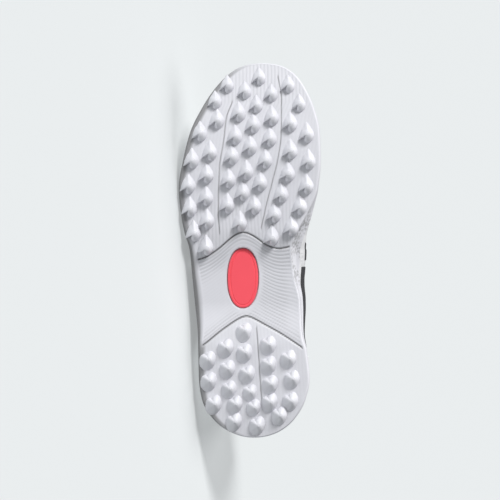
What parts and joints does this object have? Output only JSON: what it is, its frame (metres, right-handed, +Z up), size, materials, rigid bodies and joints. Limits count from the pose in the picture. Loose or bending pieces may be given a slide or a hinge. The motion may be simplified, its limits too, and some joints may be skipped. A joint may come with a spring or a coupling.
{
  "type": "turf shoe",
  "caption": "Low-cut laced turf shoe with a white studded rubber cup sole, a thin hollow upper and a coral midfoot inlay, lying on its side with the sole showing.",
  "frame": {"origin": "centre of the base of the bounding box, on the floor on which the shoe lies", "axes": "+Z up from the floor; the shoe lies on its lateral side with its toe towards -X, its heel towards +X and its studded sole facing -Y, tipped about 14 degrees upwards"},
  "size_m": [0.2854, 0.128, 0.1074],
  "materials": {
    "white_rubber": "satin",
    "coral_inlay": "satin",
    "white_upper": "matte",
    "white_overlay": "satin",
    "charcoal_lining": "matte",
    "white_lace": "matte"
  },
  "bodies": {
    "root": {"outsole": "white_rubber", "sole_inlay": "coral_inlay", "insole": "charcoal_lining", "upper": "white_upper", "eyestay": "white_overlay", "heel_counter": "white_overlay", "tongue": "white_upper", "lace": "white_lace"}
  },
  "joints": []
}
